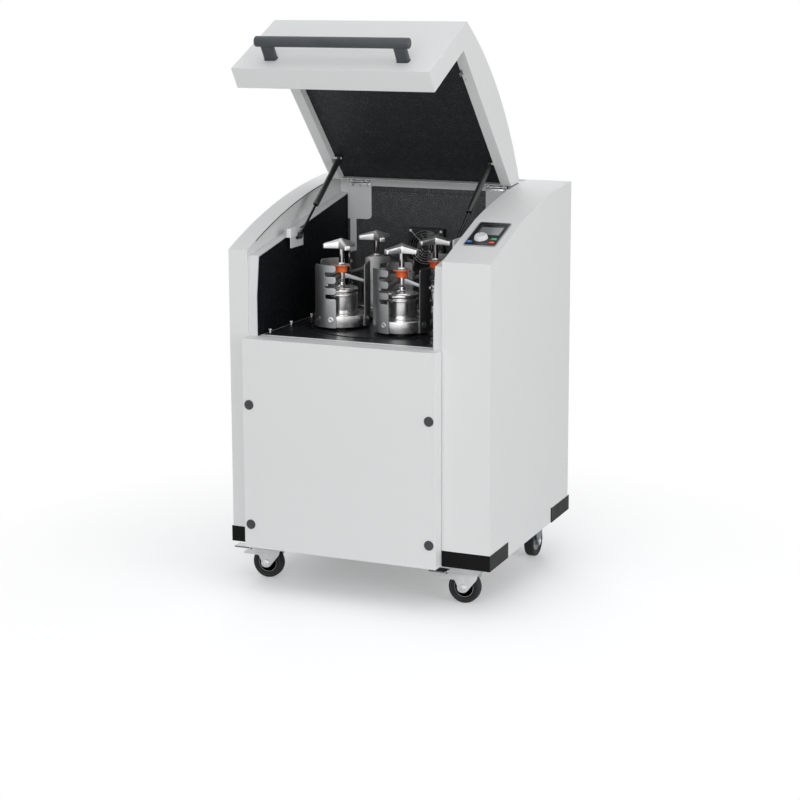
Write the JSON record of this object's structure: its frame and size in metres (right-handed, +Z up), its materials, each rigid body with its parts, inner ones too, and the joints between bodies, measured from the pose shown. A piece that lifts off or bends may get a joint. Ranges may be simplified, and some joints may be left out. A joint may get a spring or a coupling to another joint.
{
  "type": "planetary ball mill",
  "caption": "Floor-standing planetary ball mill on castors: tilting sound-damped lid on gas struts over rotating jar holders with screw clamps, and a control panel beside it.",
  "frame": {"origin": "on the floor under the middle of the bounding box, with the lid open", "axes": "+Z up, the front of the mill towards -Y, the control column towards +X"},
  "size_m": [0.8932, 0.8122, 1.719],
  "materials": {
    "base_frame": "primed",
    "bearing_block": "primed",
    "brake_pedal_left": "zinc plated",
    "brake_pedal_right": "zinc plated",
    "castor_fork_left": "zinc plated",
    "castor_fork_right": "zinc plated",
    "castor_wheel_front_left": "matte",
    "castor_wheel_front_right": "matte",
    "castor_wheel_rear_left": "matte",
    "castor_wheel_rear_right": "matte",
    "chamber_floor": "dark gloss",
    "chamber_tub": "satin light grey",
    "clamp_bridge_1": "bright",
    "clamp_bridge_2": "bright",
    "clamp_bridge_3": "bright",
    "clamp_bridge_4": "bright",
    "clamp_screw_1": "cast satin",
    "clamp_screw_2": "cast satin",
    "clamp_screw_3": "cast satin",
    "clamp_screw_4": "cast satin",
    "control_bezel": "black",
    "drive_belt": "matte",
    "electrics_box": "primed",
    "fan_housing": "black",
    "fan_rotor": "black",
    "front_service_panel": "satin light grey",
    "grinding_jar_1": "bright",
    "grinding_jar_2": "bright",
    "grinding_jar_3": "bright",
    "grinding_jar_4": "bright",
    "jar_holder_1": "satin",
    "jar_holder_2": "satin",
    "jar_holder_3": "satin",
    "jar_holder_4": "satin",
    "jar_lid_1": "bright",
    "jar_lid_2": "bright",
    "jar_lid_3": "bright",
    "jar_lid_4": "bright",
    "left_column": "satin light grey",
    "lid_foam": "open foam",
    "lid_handle": "satin charcoal",
    "lid_shell": "satin light grey",
    "lock_ring_1": "orange red",
    "lock_ring_2": "orange red",
    "lock_ring_3": "orange red",
    "lock_ring_4": "orange red",
    "menu_button": "blue",
    "motor_housing": "painted",
    "motor_pulley": "bright",
    "rear_panel": "satin light grey",
    "right_column": "satin light grey",
    "selector_knob": "light grey",
    "start_button": "green",
    "stop_button": "red",
    "strut_rod_left": "black",
    "strut_rod_right": "black",
    "strut_tube_left": "gloss black",
    "strut_tube_right": "gloss black",
    "sun_wheel": "dark gloss",
    "wall_foam": "open foam"
  },
  "bodies": {
    "cabinet": {"base_frame": "base_frame", "left_column": "left_column", "right_column": "right_column", "rear_panel": "rear_panel", "front_service_panel": "front_service_panel", "chamber_tub": "chamber_tub", "wall_foam": "wall_foam", "chamber_floor": "chamber_floor", "bearing_block": "bearing_block", "motor_housing": "motor_housing", "electrics_box": "electrics_box", "fan_housing": "fan_housing", "control_bezel": "control_bezel", "drive_belt": "drive_belt"},
    "sun": {"sun_wheel": "sun_wheel"},
    "motor_rotor": {"motor_pulley": "motor_pulley"},
    "fan": {"fan_rotor": "fan_rotor"},
    "lid": {"lid_shell": "lid_shell", "lid_foam": "lid_foam", "lid_handle": "lid_handle"},
    "strut_tubes": {"strut_tube_left": "strut_tube_left", "strut_tube_right": "strut_tube_right"},
    "strut_rods": {"strut_rod_left": "strut_rod_left", "strut_rod_right": "strut_rod_right"},
    "knob": {"selector_knob": "selector_knob"},
    "start": {"start_button": "start_button"},
    "stop": {"stop_button": "stop_button"},
    "menu": {"menu_button": "menu_button"},
    "fork_left": {"castor_fork_left": "castor_fork_left"},
    "pedal_left": {"brake_pedal_left": "brake_pedal_left"},
    "wheel_front_left": {"castor_wheel_front_left": "castor_wheel_front_left"},
    "wheel_rear_left": {"castor_wheel_rear_left": "castor_wheel_rear_left"},
    "fork_right": {"castor_fork_right": "castor_fork_right"},
    "pedal_right": {"brake_pedal_right": "brake_pedal_right"},
    "wheel_front_right": {"castor_wheel_front_right": "castor_wheel_front_right"},
    "wheel_rear_right": {"castor_wheel_rear_right": "castor_wheel_rear_right"},
    "planet_1": {"jar_holder_1": "jar_holder_1", "grinding_jar_1": "grinding_jar_1", "jar_lid_1": "jar_lid_1"},
    "bridge_1": {"clamp_bridge_1": "clamp_bridge_1"},
    "screw_1": {"clamp_screw_1": "clamp_screw_1"},
    "ring_1": {"lock_ring_1": "lock_ring_1"},
    "planet_2": {"jar_holder_2": "jar_holder_2", "grinding_jar_2": "grinding_jar_2", "jar_lid_2": "jar_lid_2"},
    "bridge_2": {"clamp_bridge_2": "clamp_bridge_2"},
    "screw_2": {"clamp_screw_2": "clamp_screw_2"},
    "ring_2": {"lock_ring_2": "lock_ring_2"},
    "planet_3": {"jar_holder_3": "jar_holder_3", "grinding_jar_3": "grinding_jar_3", "jar_lid_3": "jar_lid_3"},
    "bridge_3": {"clamp_bridge_3": "clamp_bridge_3"},
    "screw_3": {"clamp_screw_3": "clamp_screw_3"},
    "ring_3": {"lock_ring_3": "lock_ring_3"},
    "planet_4": {"jar_holder_4": "jar_holder_4", "grinding_jar_4": "grinding_jar_4", "jar_lid_4": "jar_lid_4"},
    "bridge_4": {"clamp_bridge_4": "clamp_bridge_4"},
    "screw_4": {"clamp_screw_4": "clamp_screw_4"},
    "ring_4": {"lock_ring_4": "lock_ring_4"}
  },
  "joints": [
    {"name": "lid_hinge", "type": "hinge", "parent": "cabinet", "child": "lid", "pos_m": [0.02535, 0.32945, 1.19], "axis": [1, 0, 0], "range_deg": [0, 57]},
    {"name": "strut_tilt", "type": "hinge", "parent": "lid", "child": "strut_tubes", "pos_m": [0.02535, 0.21645, 1.27496], "axis": [1, 0, 0], "range_deg": [-76.8, 0]},
    {"name": "strut_slide", "type": "slide", "parent": "strut_tubes", "child": "strut_rods", "axis": [0, 0.8099, 0.5866], "range_m": [0, 0.07763]},
    {"name": "sun_spin", "type": "hinge", "parent": "cabinet", "child": "sun", "pos_m": [-0.01715, 0.01945, 0], "axis": [0, 0, 1], "continuous": true},
    {"name": "planet_spin_1", "type": "hinge", "parent": "sun", "child": "planet_1", "pos_m": [0.07608, -0.09805, 0], "axis": [0, 0, 1], "continuous": true},
    {"name": "bridge_turn_1", "type": "hinge", "parent": "planet_1", "child": "bridge_1", "pos_m": [0.07608, -0.09805, 0], "axis": [0, 0, 1], "range_deg": [0, 25]},
    {"name": "screw_turn_1", "type": "hinge", "parent": "bridge_1", "child": "screw_1", "pos_m": [0.07608, -0.09805, 0], "axis": [0, 0, 1], "range_deg": [0, 720]},
    {"name": "ring_lift_1", "type": "slide", "parent": "bridge_1", "child": "ring_1", "axis": [0, 0, 1], "range_m": [0, 0.005]},
    {"name": "planet_spin_2", "type": "hinge", "parent": "sun", "child": "planet_2", "pos_m": [0.10035, 0.11269, 0], "axis": [0, 0, 1], "continuous": true},
    {"name": "bridge_turn_2", "type": "hinge", "parent": "planet_2", "child": "bridge_2", "pos_m": [0.10035, 0.11269, 0], "axis": [0, 0, 1], "range_deg": [0, 25]},
    {"name": "screw_turn_2", "type": "hinge", "parent": "bridge_2", "child": "screw_2", "pos_m": [0.10035, 0.11269, 0], "axis": [0, 0, 1], "range_deg": [0, 720]},
    {"name": "ring_lift_2", "type": "slide", "parent": "bridge_2", "child": "ring_2", "axis": [0, 0, 1], "range_m": [0, 0.005]},
    {"name": "planet_spin_3", "type": "hinge", "parent": "sun", "child": "planet_3", "pos_m": [-0.11038, 0.13696, 0], "axis": [0, 0, 1], "continuous": true},
    {"name": "bridge_turn_3", "type": "hinge", "parent": "planet_3", "child": "bridge_3", "pos_m": [-0.11038, 0.13696, 0], "axis": [0, 0, 1], "range_deg": [0, 25]},
    {"name": "screw_turn_3", "type": "hinge", "parent": "bridge_3", "child": "screw_3", "pos_m": [-0.11038, 0.13696, 0], "axis": [0, 0, 1], "range_deg": [0, 720]},
    {"name": "ring_lift_3", "type": "slide", "parent": "bridge_3", "child": "ring_3", "axis": [0, 0, 1], "range_m": [0, 0.005]},
    {"name": "planet_spin_4", "type": "hinge", "parent": "sun", "child": "planet_4", "pos_m": [-0.13465, -0.07378, 0], "axis": [0, 0, 1], "continuous": true},
    {"name": "bridge_turn_4", "type": "hinge", "parent": "planet_4", "child": "bridge_4", "pos_m": [-0.13465, -0.07378, 0], "axis": [0, 0, 1], "range_deg": [0, 25]},
    {"name": "screw_turn_4", "type": "hinge", "parent": "bridge_4", "child": "screw_4", "pos_m": [-0.13465, -0.07378, 0], "axis": [0, 0, 1], "range_deg": [0, 720]},
    {"name": "ring_lift_4", "type": "slide", "parent": "bridge_4", "child": "ring_4", "axis": [0, 0, 1], "range_m": [0, 0.005]},
    {"name": "motor_spin", "type": "hinge", "parent": "cabinet", "child": "motor_rotor", "pos_m": [-0.18715, -0.11555, 0], "axis": [0, 0, 1], "continuous": true},
    {"name": "fan_spin", "type": "hinge", "parent": "cabinet", "child": "fan", "pos_m": [-0.01565, 0.33945, 0.988], "axis": [0, 1, 0], "continuous": true},
    {"name": "knob_turn", "type": "hinge", "parent": "cabinet", "child": "knob", "pos_m": [0.36085, -0.17837, 1.09535], "axis": [0, -0.3279, 0.9447], "continuous": true},
    {"name": "start_press", "type": "slide", "parent": "cabinet", "child": "start", "axis": [0, 0.3279, -0.9447], "range_m": [0, 0.0008], "stiffness_N_per_m": 900, "springref_m": -0.0005},
    {"name": "stop_press", "type": "slide", "parent": "cabinet", "child": "stop", "axis": [0, 0.3279, -0.9447], "range_m": [0, 0.0008], "stiffness_N_per_m": 900, "springref_m": -0.0005},
    {"name": "menu_press", "type": "slide", "parent": "cabinet", "child": "menu", "axis": [0, 0.3279, -0.9447], "range_m": [0, 0.0008], "stiffness_N_per_m": 900, "springref_m": -0.0005},
    {"name": "swivel_left", "type": "hinge", "parent": "cabinet", "child": "fork_left", "pos_m": [-0.30265, -0.19755, 0], "axis": [0, 0, 1], "continuous": true},
    {"name": "pedal_press_left", "type": "hinge", "parent": "fork_left", "child": "pedal_left", "pos_m": [-0.38665, -0.19755, 0.0895], "axis": [0, 1, 0], "range_deg": [-12, 0]},
    {"name": "wheel_spin_front_left", "type": "hinge", "parent": "fork_left", "child": "wheel_front_left", "pos_m": [-0.33465, -0.19755, 0.04957], "axis": [0, 1, 0], "continuous": true},
    {"name": "wheel_spin_rear_left", "type": "hinge", "parent": "cabinet", "child": "wheel_rear_left", "pos_m": [-0.30265, 0.32845, 0.04957], "axis": [1, 0, 0], "continuous": true},
    {"name": "swivel_right", "type": "hinge", "parent": "cabinet", "child": "fork_right", "pos_m": [0.35335, -0.19755, 0], "axis": [0, 0, 1], "continuous": true},
    {"name": "pedal_press_right", "type": "hinge", "parent": "fork_right", "child": "pedal_right", "pos_m": [0.26935, -0.19755, 0.0895], "axis": [0, 1, 0], "range_deg": [-12, 0]},
    {"name": "wheel_spin_front_right", "type": "hinge", "parent": "fork_right", "child": "wheel_front_right", "pos_m": [0.32135, -0.19755, 0.04957], "axis": [0, 1, 0], "continuous": true},
    {"name": "wheel_spin_rear_right", "type": "hinge", "parent": "cabinet", "child": "wheel_rear_right", "pos_m": [0.35335, 0.32845, 0.04957], "axis": [1, 0, 0], "continuous": true}
  ],
  "couplings": [
    {"joint": "strut_tilt", "follows": "lid_hinge", "ratio": -1.3465},
    {"joint": "strut_slide", "follows": "lid_hinge", "m_per_rad": 0.077933},
    {"joint": "planet_spin_1", "follows": "sun_spin", "ratio": -2},
    {"joint": "planet_spin_2", "follows": "sun_spin", "ratio": -2},
    {"joint": "planet_spin_3", "follows": "sun_spin", "ratio": -2},
    {"joint": "planet_spin_4", "follows": "sun_spin", "ratio": -2},
    {"joint": "motor_spin", "follows": "sun_spin", "ratio": 2.25}
  ]
}
